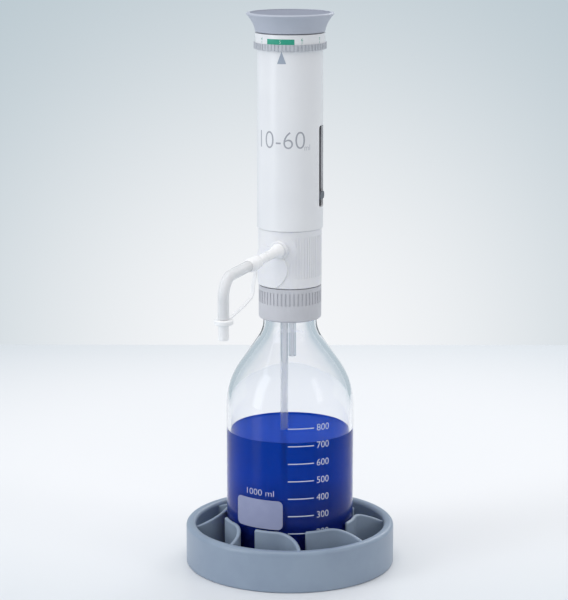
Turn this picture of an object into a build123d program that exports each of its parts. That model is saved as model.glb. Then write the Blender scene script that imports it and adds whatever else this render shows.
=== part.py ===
from build123d import *
from math import acos, asin, atan, cos, degrees, pi, radians, sin, sqrt, tan
import os

# Bottle-top dispenser on its reagent bottle, standing in a ring holder.
# Millimetres. The Z axis is the axis of the bottle, the bench is z = 0 and the viewer stands at -Y.
# An azimuth is turned from the viewer towards +X: 0 is -Y, 90 is +X.

# Clearances
face_gap = 0.3        # between curved faces of bodies that pass each other
run_gap = 0.05        # radial play of a shaft or piston in its bore
seat_gap = 0.1        # between stacked rings that turn on each other

# Ring holder
holder_radius = 83.2
holder_height = 33.0
holder_wall = 8.0
holder_floor = 2.5
holder_edge = 3.2
vane_count = 8
vane_thickness = 3.0
vane_root = 4.2
vane_wrap = 18.3
vane_rise = 7.0
vane_azimuth = 5.5
vane_edge = 1.2

# Bottle
bottle_radius = 50.5
bottle_height = 219.5
bottle_wall = 3.1
bottle_floor = 3.0
bottle_heel = 6.0
neck_radius = 21.0
neck_bore = 16.3
neck_height = 23.7
shoulder_bend = 60.0
throat_bend = 25.0
shoulder_slope = 34.7
liquid_level = 109.0
liquid_gap = 0.15

# Neck seat, gasket and tubes
gasket_thickness = 1.2
seat_flange = 2.2
seat_depth = 17.0
seat_flange_radius = 20.4
seat_floor = 7.5
hub_radius = 15.2
hub_rise = 1.9
tube_radius = 3.1
tube_bore = 2.2
tube_offset = 4.5
tube_foot = 60.0
extension_bore = 1.4
extension_lap = 40.0
extension_foot = 9.0
vent_offset_x = 1.9
vent_offset_y = 12.2
vent_foot = 166.0
vent_hole = 1.2

# Collar nut
collar_radius = 24.66
collar_bore = 22.6
collar_length = 26.4
collar_flange = 1.3
collar_gap = 0.5
collar_round = 2.0
collar_rib_count = 48
collar_rib_depth = 0.6
collar_rib_width = 1.5
collar_rib_height = 9.6
collar_lip = 3.4

# Valve block
block_radius = 24.8
block_height = 45.3
block_round = 0.9
guide_height = 11.4
guide_gap = 0.45
spigot_radius = 9.0
spigot_clear = 1.3
pad_radius = 25.9
pad_width = 17.5
pad_azimuth = -48.0
pad_height = 15.5
grip_groove_count = 27
grip_groove_pitch = 5.3
grip_groove_depth = 0.4
grip_groove_width = 1.1
grip_margin_bottom = 7.7
grip_margin_top = 5.0
grip_clear = 13.5
boss_radius = 7.7
boss_reach = 26.4
channel_radius = 2.0

# Valves
inlet_ball_radius = 3.4
inlet_cage = 4.2
inlet_seat_radius = 5.0
inlet_seat_hole = 1.8
inlet_seat_sink = 2.5
inlet_lift = 1.5
outlet_ball_radius = 2.6
outlet_cage = 3.6
outlet_seat_hole = 1.4
outlet_lift = 1.2
outlet_offset = 10.0
valve_seat_height = 3.0
plug_height = 2.4
plug_pin = 0.8
seal_section = 0.65
swivel_seal_drop = 3.2

# Spout
spout_azimuth = -21.0
spout_drop = 14.9
spout_reach = 135.4
spout_fall = 1.4
spout_bend = 15.0
nozzle_radius = 3.75
nozzle_root = 5.8
nozzle_taper = 10.0
nozzle_bore = 1.6
nozzle_depth = 9.0
union_start = 73.6
union_length = 14.4
union_radius = 5.4
union_lap = 8.0
union_taper = 5.0
tether_ring_width = 3.6
tether_ring_radius = 5.3
spout_radius = 4.15
spout_bore = 2.2
spout_hang = 29.9
tip_radius = 3.0
tip_length = 12.0
cap_radius = 3.95
cap_length = 15.5
cap_flange_radius = 7.1
cap_flange = 3.7
tether_width = 2.8
tether_thickness = 1.2
tether_bends = ((5.5, 9.0), (8.0, 19.0), (28.0, 23.5))
tether_bend_radii = (12, 7, 40)

# Dosing cylinder and piston
cylinder_bore = 16.65
cylinder_wall = 1.6
cylinder_sink = 10.6
guard_wall = 0.9
guard_sink = 7.0
piston_length = 19.0
piston_rest = 2.0
piston_seal_height = 7.0
piston_edge = 0.6
rod_radius = 4.0
rod_socket = 8.0
stop_ring_height = 6.2
stop_ring_lip = 3.2
stop_ring_hole = 14.0
stop_notch_margin = 4.0

# Dosing sleeve
sleeve_length = 138.7
sleeve_radius_bottom = 25.8
sleeve_radius_top = 25.45
sleeve_bore = 23.9
slot_azimuth = 75.0
slot_width = 12.4
slot_start = 16.8
slot_corner = 2.5
mark_azimuth = -15.0
mark_width = 7.3
mark_depth = 0.25
mark_height = 9.6

# Volume drive
dose_full = 60.0
dose_least = 10.0
dose_set = 55.0
gear_module = 0.6
ring_teeth = 80
pinion_teeth = 10
tooth_play = 0.12
pressure_angle = 20.0
pinion_addendum = 0.75
pinion_dedendum = 1.08
ring_addendum = 0.667
ring_dedendum = 1.25
pinion_height = 4.0
pinion_lift = 1.1
screw_radius = 1.3
screw_tail = 1.5
nut_wall = 0.35
pointer_height = 5.6
pointer_stand = 1.2

# Head plate and dial
plate_height = 7.6
plate_inset = 0.4
boss_drop = 8.0
head_boss_radius = 8.5
pivot_radius = 6.0
pivot_height = 19.9
washer_radius = 8.6
washer_thickness = 1.2
screw_head_radius = 4.4
screw_head_height = 3.0
pivot_screw_radius = 2.0
pivot_screw_length = 14.0
grip_radius = 28.14
grip_height = 4.9
grip_rib_count = 60
grip_rib_depth = 0.5
grip_rib_width = 1.3
scale_radius = 27.1
scale_height = 7.2
scale_bore = 23.0
knob_gap = 0.9
knob_height = 14.5
knob_foot_radius = 26.9
knob_waist_radius = 29.3
knob_waist_height = 7.0
knob_rim_radius = 33.9
knob_rim_round = 1.2
knob_wall = 2.2
knob_spigot_wall = 2.0
knob_hub_radius = 9.6
knob_web = 1.6
knob_web_count = 6
cover_radius = 31.0
cover_thickness = 1.9
cover_inset = 0.5

# Heights stacked up from the bench
bottle_base = holder_floor
lip = bottle_base + bottle_height
seat_top = lip + gasket_thickness + seat_flange
hub_top = seat_top + hub_rise
block_top = hub_top + block_height
guide_top = block_top + guide_height
spout_height = block_top - spout_drop
spout_end = spout_height - spout_fall - spout_hang
sleeve_base = block_top + face_gap
sleeve_top = sleeve_base + sleeve_length
grip_base = sleeve_top + face_gap
scale_base = grip_base + grip_height
knob_base = scale_base + scale_height + knob_gap
knob_top = knob_base + knob_height
chamber_floor = block_top - cylinder_sink
plate_top = sleeve_top - plate_inset
plate_base = plate_top - plate_height
pivot_top = plate_top + pivot_height

# Volume drive worked out from the bore: one millilitre is this much stroke
stroke_per_ml = 1000 / (pi * cylinder_bore**2)
stroke = dose_full * stroke_per_ml
slot_base = sleeve_base + slot_start
slot_length = (dose_full - dose_least) * stroke_per_ml + pointer_height + 2 * face_gap
nut_base = slot_base + face_gap + (dose_full - dose_set) * stroke_per_ml
stop_base = slot_base + face_gap + pointer_height + stroke
cylinder_radius = cylinder_bore + cylinder_wall
cylinder_top = stop_base + stop_ring_height - stop_ring_lip - seat_gap
guard_radius = cylinder_radius + seat_gap + guard_wall
ring_pitch_radius = gear_module * ring_teeth / 2
pinion_pitch_radius = gear_module * pinion_teeth / 2
screw_offset = ring_pitch_radius - pinion_pitch_radius
pinion_base = plate_top + pinion_lift


def tube(outer, inner, low, high):
    """Upright tube, or a plain disc where inner is 0."""
    section = Circle(outer)
    if inner > 0:
        section -= Circle(inner)
    return Pos(0, 0, low) * extrude(section, high - low)


def turned(*points):
    """Solid of revolution about Z from (radius, height) points."""
    return revolve(Plane.XZ * make_face(Polyline(*points, close=True)), Axis.Z)


def facing(azimuth):
    """Turns what is drawn along +X to look along an azimuth."""
    return Rot(0, 0, azimuth - 90)


def lying(radius, start, end, height):
    """Round bar along +X between two reaches."""
    return Pos(start, 0, height) * Rot(0, 90, 0) * extrude(Circle(radius), end - start)


def o_ring(radius, height, section=seal_section):
    """Ring seal whose outermost line is at radius."""
    profile = Pos(radius - section, height) * Circle(section)
    return revolve(Plane.XZ * profile, Axis.Z)


def notches_round(radius, count, depth, width):
    """Flat notches spread round a rim."""
    return Sketch() + [place * Rectangle(2 * depth, width) for place in PolarLocations(radius, count)]


def polar(radius, angle):
    """Point at an angle in degrees, turned from +X."""
    return Vector(radius * cos(radians(angle)), radius * sin(radians(angle)))


# Ring holder: a soft moulded ring whose curved vanes spring against the bottle
vane_inside = bottle_radius + face_gap
vane_hug = vane_inside + vane_thickness / 2
holder_inside = holder_radius - holder_wall
vane_bend = ((holder_inside - vane_root) ** 2 - vane_hug**2) / (2 * vane_hug)
vane_swing = degrees(asin(vane_bend / (vane_hug + vane_bend)))


def vane_side(offset):
    """Points along one side of a vane, from the wall to the tip."""
    centre = polar(vane_hug + vane_bend, -vane_swing)
    bend = vane_bend + offset
    hug = vane_hug - offset
    wall = Vector(holder_radius - holder_wall / 2, offset)
    bend_start = Vector(centre.X, offset)
    bend_middle = centre + polar(bend, 135 - vane_swing / 2)
    touch = polar(hug, -vane_swing)
    hug_middle = polar(hug, -vane_swing - vane_wrap / 2)
    tip = polar(hug, -vane_swing - vane_wrap)
    return wall, bend_start, bend_middle, touch, hug_middle, tip


def vane():
    near = vane_side(vane_thickness / 2)
    far = vane_side(-vane_thickness / 2)
    nose = polar(vane_hug, -vane_swing - vane_wrap - degrees(vane_thickness / 2 / vane_hug))
    outline = Line(near[0], near[1])
    outline += ThreePointArc(near[1], near[2], near[3])
    outline += ThreePointArc(near[3], near[4], near[5])
    outline += ThreePointArc(near[5], nose, far[5])
    outline += ThreePointArc(far[5], far[4], far[3])
    outline += ThreePointArc(far[3], far[2], far[1])
    outline += Line(far[1], far[0])
    outline += Line(far[0], near[0])
    blade = extrude(make_face(outline), holder_height + vane_rise + 1)
    top = turned(
        (0, 0),
        (holder_radius, 0),
        (holder_radius, holder_height - holder_edge),
        (holder_inside, holder_height - holder_edge),
        (vane_inside, holder_height + vane_rise),
        (0, holder_height + vane_rise),
    )
    blade &= top
    crest = blade.edges().filter_by(lambda edge: edge.center().Z > holder_height - holder_edge)
    crest = crest.filter_by(lambda edge: edge.bounding_box().size.Z < vane_rise * 1.5)
    return fillet(crest, vane_edge)


def ring_holder():
    wall = turned(
        (0, 0),
        (holder_radius, 0),
        (holder_radius, holder_height),
        (holder_inside, holder_height),
        (holder_inside, holder_floor),
        (0, holder_floor),
    )
    rim = wall.edges().filter_by(GeomType.CIRCLE).group_by(Axis.Z)[-1]
    wall = fillet(rim, holder_edge)
    foot = wall.edges().filter_by(GeomType.CIRCLE).group_by(Axis.Z)[0]
    wall = fillet(foot, holder_edge / 2)
    blade = vane()
    for index in range(vane_count):
        wall += facing(vane_azimuth + index * 360 / vane_count) * blade
    return wall


# Bottle: outer and inner lines share the shoulder slope
slope_rise = 1 / tan(radians(shoulder_slope))
corner_turn = tan(radians(shoulder_slope / 2))
neck_start = lip - neck_height
neck_corner = neck_start - throat_bend * corner_turn
shoulder_corner = neck_corner - (bottle_radius - neck_radius) * slope_rise
inner_radius = bottle_radius - bottle_wall
neck_wall = neck_radius - neck_bore
inner_floor = bottle_base + bottle_floor


def bottle_line(body, neck, floor, top, heel, shoulder, throat, drop_body, drop_neck):
    """Half section of the bottle's outside or inside, closed along the axis."""
    line = FilletPolyline(
        (0, floor),
        (body, floor),
        (body, shoulder_corner - drop_body),
        (neck, neck_corner - drop_neck),
        (neck, top),
        radius=[heel, shoulder, throat],
    )
    line += Line((neck, top), (0, top))
    line += Line((0, top), (0, floor))
    return make_face(line)


def bottle_inside(shrink, top):
    return bottle_line(
        inner_radius - shrink,
        neck_bore - shrink,
        inner_floor + shrink,
        top,
        bottle_heel + bottle_floor - shrink,
        shoulder_bend - bottle_wall - shrink,
        throat_bend + neck_wall + shrink,
        (bottle_wall + shrink) * corner_turn,
        (neck_wall + shrink) * corner_turn,
    )


def bottle():
    outside = bottle_line(
        bottle_radius, neck_radius, bottle_base, lip, bottle_heel, shoulder_bend, throat_bend, 0, 0
    )
    return revolve(Plane.XZ * (outside - bottle_inside(0, lip)), Axis.Z)


intake_place = Pos(-tube_offset, 0, 0)
vent_place = Pos(vent_offset_x, vent_offset_y, 0)


def blue_liquid():
    fill = revolve(Plane.XZ * bottle_inside(liquid_gap, lip), Axis.Z)
    fill &= tube(bottle_radius, 0, bottle_base, liquid_level)
    return fill - intake_place * tube(tube_radius + face_gap, 0, bottle_base, lip)


# Neck seat: a plug that hangs in the bottle's mouth, carries both tubes and lets the head turn on it
seat_base = lip + gasket_thickness
plug_base = seat_base - seat_depth
plug_radius = neck_bore - face_gap
seat_bore = spigot_radius + run_gap
socket_top = plug_base + seat_floor - seal_section
intake_top = socket_top - seat_gap


def neck_seat():
    body = turned(
        (0, plug_base),
        (plug_radius, plug_base),
        (plug_radius, seat_base),
        (seat_flange_radius, seat_base),
        (seat_flange_radius, seat_top),
        (hub_radius, seat_top),
        (hub_radius, hub_top),
        (0, hub_top),
    )
    body -= tube(seat_bore, 0, plug_base + seat_floor, hub_top)
    body -= intake_place * tube(tube_radius + run_gap, 0, plug_base, socket_top)
    body -= intake_place * tube(tube_bore, 0, plug_base, hub_top)
    body -= vent_place * tube(tube_radius - seat_gap, 0, plug_base, plug_base + seat_floor)
    body -= vent_place * tube(vent_hole, 0, plug_base, hub_top)
    return body


def neck_gasket():
    return tube(seat_flange_radius, neck_bore, lip, seat_base)


def intake_tube():
    return intake_place * tube(tube_radius, tube_bore, tube_foot, intake_top)


def tube_extension():
    outer = tube_bore - run_gap
    body = tube(outer, extension_bore, extension_foot, tube_foot + extension_lap)
    below = (Align.CENTER, Align.CENTER, Align.MAX)
    cut = Pos(0, 0, extension_foot) * Rot(0, 45, 0) * Box(8 * outer, 4 * outer, 4 * outer, align=below)
    return intake_place * (body - cut)


def vent_tube():
    radius = tube_radius - seat_gap - run_gap
    return vent_place * tube(radius, vent_hole, vent_foot, plug_base + seat_floor - seal_section)


# Collar nut: ribbed ring that pulls the seat's flange down on the bottle's lip
collar_top = hub_top - collar_gap
collar_base = collar_top - collar_length


def collar_nut():
    body = turned(
        (collar_bore, collar_base),
        (collar_radius, collar_base),
        (collar_radius, collar_top),
        (hub_radius + face_gap, collar_top),
        (hub_radius + face_gap, collar_top - collar_flange),
        (collar_bore, collar_top - collar_flange),
    )
    outer = body.edges().filter_by(GeomType.CIRCLE).sort_by(SortBy.RADIUS)[-2:]
    body = fillet(outer.sort_by(Axis.Z)[0], collar_round)
    notches = notches_round(collar_radius, collar_rib_count, collar_rib_depth, collar_rib_width)
    rib_top = collar_top - collar_lip
    return body - Pos(0, 0, rib_top - collar_rib_height) * extrude(notches, collar_rib_height)


# The spout leans a little from the boss to its bend
spout_lean = degrees(atan(spout_fall / (spout_reach - boss_reach)))
to_spout = facing(spout_azimuth)


def spout_level(reach):
    """Height of the spout's middle line on its long run."""
    return spout_height - spout_fall * (reach - boss_reach) / (spout_reach - boss_reach)


def on_spout(reach):
    """Place on the spout's long run, with Z along it."""
    return Pos(reach, 0, spout_level(reach)) * Rot(0, 90 + spout_lean, 0)


def along_spout(radius, start, end):
    """Round bar that follows the spout's long run."""
    return on_spout(start) * extrude(Circle(radius), (end - start) / cos(radians(spout_lean)))


def spout_cone(start, radius, end, end_radius):
    """Tapered bar that follows the spout's long run."""
    length = (end - start) / cos(radians(spout_lean))
    return on_spout(start) * Cone(radius, end_radius, length, align=(Align.CENTER, Align.CENTER, Align.MIN))


# Valve block: carries the cylinder, both valves and the spout
guide_radius = sleeve_bore - guide_gap
guard_seat = guide_top - guard_sink
cage_shoulder = inlet_ball_radius + inlet_lift
block_spigot_base = plug_base + seat_floor + spigot_clear
inlet_seat_top = block_spigot_base + inlet_seat_sink + valve_seat_height
inlet_ball_height = inlet_seat_top + sqrt(inlet_ball_radius**2 - inlet_seat_hole**2) + run_gap
inlet_cage_top = inlet_ball_height + cage_shoulder + run_gap
outlet_plug_base = chamber_floor - plug_height
outlet_seat_top = spout_height - 2 * outlet_ball_radius - outlet_lift - nozzle_bore
outlet_ball_height = outlet_seat_top + sqrt(outlet_ball_radius**2 - outlet_seat_hole**2) + run_gap
gallery_height = outlet_seat_top - valve_seat_height - channel_radius
seal_height = hub_top - swivel_seal_drop
seal_low = seal_height - seal_section - run_gap
seal_high = seal_height + seal_section + run_gap


def grip_grooves():
    low = hub_top + grip_margin_bottom
    height = block_height - grip_margin_bottom - grip_margin_top
    groove = Pos(block_radius, 0) * Rectangle(2 * grip_groove_depth, grip_groove_width)
    grooves = Sketch() + [facing(index * grip_groove_pitch) * groove for index in range(grip_groove_count)]
    cuts = Pos(0, 0, low) * extrude(grooves, height)
    return cuts - to_spout * lying(grip_clear, 0, 2 * block_radius, spout_height)


def valve_block():
    body = turned(
        (0, block_spigot_base),
        (spigot_radius, block_spigot_base),
        (spigot_radius, hub_top),
        (block_radius, hub_top),
        (block_radius, block_top),
        (guide_radius, block_top),
        (guide_radius, guide_top),
        (0, guide_top),
    )
    rims = body.edges().filter_by(GeomType.CIRCLE).filter_by(lambda edge: edge.radius > block_radius - 0.01)
    body = fillet(rims, block_round)
    pad = tube(pad_radius, 0, hub_top + block_round, block_top)
    pad &= facing(pad_azimuth) * lying(pad_width, 0, 2 * block_radius, hub_top + pad_height)
    body += pad
    body -= grip_grooves()
    boss = to_spout * lying(boss_radius, 0, boss_reach, spout_height)
    boss = chamfer(boss.edges().filter_by(GeomType.CIRCLE), block_round)
    body += boss
    # cylinder seat and its guard
    body -= tube(cylinder_radius + run_gap, 0, chamber_floor, guide_top)
    body -= tube(guard_radius + run_gap, 0, guard_seat, guide_top)
    # inlet passage on the axis
    body -= tube(inlet_seat_radius + run_gap, 0, block_spigot_base, inlet_seat_top)
    body -= tube(inlet_cage, 0, inlet_seat_top, inlet_cage_top)
    body -= tube(channel_radius, 0, inlet_cage_top, chamber_floor)
    # outlet passage under the spout
    body -= to_spout * lying(channel_radius - seat_gap, 0, outlet_offset, gallery_height)
    outlet = tube(outlet_cage, 0, gallery_height + channel_radius, chamber_floor)
    outlet += tube(outlet_seat_hole, 0, gallery_height, chamber_floor)
    body -= to_spout * Pos(outlet_offset, 0, 0) * outlet
    body -= to_spout * along_spout(nozzle_bore, outlet_offset, boss_reach)
    body -= to_spout * along_spout(nozzle_radius + run_gap, boss_reach - nozzle_depth, boss_reach + 1)
    groove = tube(spigot_radius + 1, spigot_radius - 2 * seal_section, seal_low, seal_high)
    return body - groove


def swivel_seal():
    return o_ring(spigot_radius, seal_height)


def inlet_seat():
    return tube(inlet_seat_radius, inlet_seat_hole, inlet_seat_top - valve_seat_height, inlet_seat_top)


def inlet_ball():
    return Pos(0, 0, inlet_ball_height) * Sphere(inlet_ball_radius)


def outlet_seat():
    ring = tube(outlet_cage - run_gap, outlet_seat_hole, outlet_seat_top - valve_seat_height, outlet_seat_top)
    return to_spout * Pos(outlet_offset, 0, 0) * ring


def outlet_ball():
    return to_spout * Pos(outlet_offset, 0, outlet_ball_height) * Sphere(outlet_ball_radius)


def outlet_plug():
    pin_end = outlet_ball_height + outlet_ball_radius + outlet_lift + run_gap
    plug = tube(outlet_cage - run_gap, 0, outlet_plug_base, chamber_floor - run_gap)
    plug += tube(plug_pin, 0, pin_end, chamber_floor - run_gap)
    return to_spout * Pos(outlet_offset, 0, 0) * plug


# Spout: everything is drawn along +X and then turned to the spout's azimuth
union_end = union_start + union_length
union_middle = union_start + union_length - union_lap
tip_base = spout_end - tip_length


def spout_path(start):
    slope = spout_fall / (spout_reach - boss_reach)
    start_height = spout_height - slope * (start - boss_reach)
    return FilletPolyline(
        (start, 0, start_height),
        (spout_reach, 0, spout_height - spout_fall),
        (spout_reach, 0, spout_end),
        radius=spout_bend,
    )


def outlet_nozzle():
    shank_end = boss_reach - nozzle_depth + run_gap
    root_start = boss_reach + seat_gap
    nozzle = along_spout(nozzle_radius, shank_end, union_middle)
    nozzle += spout_cone(root_start, nozzle_root, root_start + nozzle_taper, nozzle_radius - run_gap)
    return to_spout * (nozzle - along_spout(nozzle_bore, shank_end - 1, union_middle + 1))


def union_sleeve():
    body = along_spout(union_radius, union_start, union_end - union_taper)
    body += spout_cone(union_end - union_taper, union_radius, union_end, spout_radius + face_gap)
    body -= along_spout(nozzle_radius + run_gap, union_start - 1, union_middle)
    body -= along_spout(spout_radius + run_gap, union_middle, union_end + 1)
    return to_spout * body


def tether_ring():
    start = union_start - seat_gap - tether_ring_width
    ring = along_spout(tether_ring_radius, start, union_start - seat_gap)
    ring -= along_spout(nozzle_radius + run_gap, start - 1, union_start)
    return to_spout * ring


def discharge_tube():
    path = spout_path(union_middle + seat_gap)
    mouth = Plane(origin=path @ 0, z_dir=path % 0)
    wall = sweep(mouth * (Circle(spout_radius) - Circle(spout_bore)), path)
    wall += Pos(spout_reach, 0, 0) * tube(tip_radius, spout_bore, tip_base, spout_end)
    return to_spout * wall


def spout_cap():
    cap_top = spout_end - face_gap
    cap = turned(
        (0, cap_top - cap_length),
        (cap_radius, cap_top - cap_length),
        (cap_radius, cap_top - cap_flange),
        (cap_flange_radius, cap_top - cap_flange),
        (cap_flange_radius, cap_top),
        (0, cap_top),
    )
    rims = cap.edges().filter_by(GeomType.CIRCLE)
    cap = fillet(rims.filter_by(lambda edge: edge.radius > cap_flange_radius - 0.01), cap_flange / 4)
    cap = fillet(cap.edges().filter_by(GeomType.CIRCLE).group_by(Axis.Z)[0], cap_flange / 4)
    cap -= tube(tip_radius + run_gap, 0, tip_base - face_gap, spout_end)
    return to_spout * Pos(spout_reach, 0, 0) * cap


def cap_tether():
    flange_height = spout_end - face_gap - cap_flange / 2
    ring_reach = union_start - seat_gap - tether_ring_width / 2
    ring_height = spout_level(ring_reach) - tether_ring_radius - face_gap
    path = FilletPolyline(
        (ring_reach, 0, ring_height),
        *[(ring_reach + along, 0, ring_height - drop) for along, drop in tether_bends],
        (spout_reach - cap_flange_radius - seat_gap, 0, flange_height),
        radius=tether_bend_radii,
    )
    mouth = Plane(origin=path @ 0, z_dir=path % 0, x_dir=(0, 1, 0))
    return to_spout * sweep(mouth * Rectangle(tether_width, tether_thickness), path)


# Dosing cylinder with its guard and the ring that the sleeve runs on
def glass_cylinder():
    return tube(cylinder_radius, cylinder_bore, chamber_floor, cylinder_top)


def cylinder_guard():
    return tube(guard_radius, cylinder_radius + seat_gap, guard_seat, stop_base)


nut_inside = guard_radius + nut_wall
slot_half_angle = degrees(asin(slot_width / 2 / sleeve_bore))


def sector(outer, half_angle, low, high):
    """Wedge about the slot's azimuth, from the axis out."""
    reach = outer / cos(radians(half_angle))
    tip_y = reach * sin(radians(half_angle))
    wedge = Polyline((0, 0), (outer, -tip_y), (outer, tip_y), close=True)
    return facing(slot_azimuth) * Pos(0, 0, low) * extrude(make_face(wedge), high - low)


def stop_ring():
    body = tube(sleeve_bore - face_gap, stop_ring_hole, stop_base, stop_base + stop_ring_height)
    body -= tube(cylinder_radius + run_gap, 0, stop_base, cylinder_top + seat_gap)
    low = stop_base - 1
    high = stop_base + stop_ring_height + 1
    notch = sector(sleeve_bore + 1, slot_half_angle + stop_notch_margin, low, high)
    return body - (notch - tube(nut_inside - face_gap / 2, 0, low, high))


piston_base = chamber_floor + piston_rest
piston_top = piston_base + piston_length
rod_base = piston_top - rod_socket


def piston():
    body = tube(cylinder_bore - run_gap, 0, piston_base, piston_top)
    body = chamfer(body.edges().filter_by(GeomType.CIRCLE), piston_edge)
    seal_at = piston_base + piston_seal_height
    half = seal_section + run_gap
    body -= tube(cylinder_bore, cylinder_bore - 2 * half, seal_at - half, seal_at + half)
    return body - tube(rod_radius + run_gap, 0, rod_base, piston_top)


def piston_seal():
    return o_ring(cylinder_bore - run_gap / 2, piston_base + piston_seal_height)


def piston_rod():
    return tube(rod_radius, 0, rod_base + run_gap, plate_top)


# Dosing sleeve: slides on the guide and the stop ring, with a slot for the volume pointer
def dosing_sleeve():
    body = turned(
        (sleeve_bore, sleeve_base),
        (sleeve_radius_bottom, sleeve_base),
        (sleeve_radius_top, sleeve_top),
        (sleeve_bore, sleeve_top),
    )
    window = Plane(origin=(0, 0, slot_base + slot_length / 2), z_dir=(1, 0, 0), x_dir=(0, 1, 0))
    slot = extrude(window * RectangleRounded(slot_width, slot_length, slot_corner), sleeve_radius_bottom + 1)
    body -= facing(slot_azimuth) * slot
    mark = Plane(origin=(sleeve_radius_top - mark_depth, 0, sleeve_top), z_dir=(1, 0, 0), x_dir=(0, 1, 0))
    triangle = Polyline((0, 0), (-mark_width / 2, -mark_height), (mark_width / 2, -mark_height), close=True)
    return body - facing(mark_azimuth) * extrude(mark * make_face(triangle), 2 * mark_depth)


# Volume drive: the dial's inner gear turns a pinion, whose screw lifts the stop nut in the slot
screw_place = facing(slot_azimuth) * Pos(screw_offset, 0, 0)


def stop_nut():
    body = tube(sleeve_bore - face_gap, nut_inside, nut_base, nut_base + pointer_height)
    body &= sector(sleeve_bore + 1, slot_half_angle, nut_base - 1, nut_base + pointer_height + 1)
    middle = nut_base + pointer_height / 2
    face = Plane(origin=(sleeve_bore - 1, 0, middle), z_dir=(1, 0, 0), x_dir=(0, 1, 0))
    width = slot_width - 2 * face_gap
    reach = sleeve_radius_bottom + pointer_stand - sleeve_bore
    pointer = extrude(face * RectangleRounded(width, pointer_height, slot_corner), reach)
    body += facing(slot_azimuth) * pointer
    return body - screw_place * tube(screw_radius + run_gap, 0, nut_base - 1, nut_base + pointer_height + 1)


def involute(angle):
    return tan(angle) - angle


def tooth_half_angle(radius, pitch_radius, half_width):
    """Half the angle, in radians, that an involute tooth spans at a radius."""
    base = pitch_radius * cos(radians(pressure_angle))
    slope = acos(min(1, base / radius))
    return half_width / pitch_radius + involute(radians(pressure_angle)) - involute(slope)


def toothed_face(teeth, radii, pitch_radius, half_width):
    """Face of a toothed disc whose flanks pass through the listed radii, root first."""
    points = []
    for index in range(teeth):
        middle = 2 * pi * index / teeth
        spans = [(radius, tooth_half_angle(radius, pitch_radius, half_width)) for radius in radii]
        for radius, span in spans:
            points.append((radius * cos(middle - span), radius * sin(middle - span)))
        for radius, span in reversed(spans):
            points.append((radius * cos(middle + span), radius * sin(middle + span)))
    return make_face(Polyline(*points, close=True))


half_pitch = pi * gear_module / 4


def drive_pinion():
    root = pinion_pitch_radius - pinion_dedendum * gear_module
    tip = pinion_pitch_radius + pinion_addendum * gear_module
    radii = (root, pinion_pitch_radius, tip)
    teeth = toothed_face(pinion_teeth, radii, pinion_pitch_radius, half_pitch - tooth_play / 2)
    body = extrude(teeth - Circle(screw_radius), pinion_height)
    return screw_place * Pos(0, 0, pinion_base) * body


def lead_screw():
    return screw_place * tube(screw_radius, 0, slot_base - screw_tail, pinion_base + pinion_height)


# Head plate closes the sleeve, holds the rod and carries the dial's pivot
def head_plate():
    body = tube(sleeve_bore - run_gap, 0, plate_base, plate_top)
    body += tube(head_boss_radius, 0, plate_base - boss_drop, plate_base)
    body += tube(pivot_radius, 0, plate_top, pivot_top)
    body -= tube(rod_radius + run_gap, 0, plate_base - boss_drop, plate_top)
    body -= tube(pivot_screw_radius, 0, pivot_top - pivot_screw_length, pivot_top)
    return body - screw_place * tube(screw_radius + run_gap, 0, plate_base, plate_top)


def pivot_washer():
    return tube(washer_radius, pivot_screw_radius + seat_gap, pivot_top, pivot_top + washer_thickness)


def pivot_screw():
    head_base = pivot_top + washer_thickness
    body = tube(screw_head_radius, 0, head_base, head_base + screw_head_height)
    body += tube(pivot_screw_radius - run_gap, 0, pivot_top - pivot_screw_length + 1, head_base)
    socket = RegularPolygon(screw_head_radius / 2, 6)
    return body - Pos(0, 0, head_base + screw_head_height / 3) * extrude(socket, screw_head_height)


# Dial: knob, scale ring and knurled ring turn together
def grip_ring():
    body = Circle(grip_radius) - notches_round(grip_radius, grip_rib_count, grip_rib_depth, grip_rib_width)
    tip = ring_pitch_radius - ring_addendum * gear_module
    root = ring_pitch_radius + ring_dedendum * gear_module
    radii = (tip, ring_pitch_radius, root)
    spaces = toothed_face(ring_teeth, radii, ring_pitch_radius, half_pitch + tooth_play / 2)
    body -= Rot(0, 0, slot_azimuth - 90) * spaces
    return Pos(0, 0, grip_base) * extrude(body, grip_height)


def scale_ring():
    return tube(scale_radius, scale_bore, scale_base, scale_base + scale_height)


knob_hub_base = pivot_top - seat_gap


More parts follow.
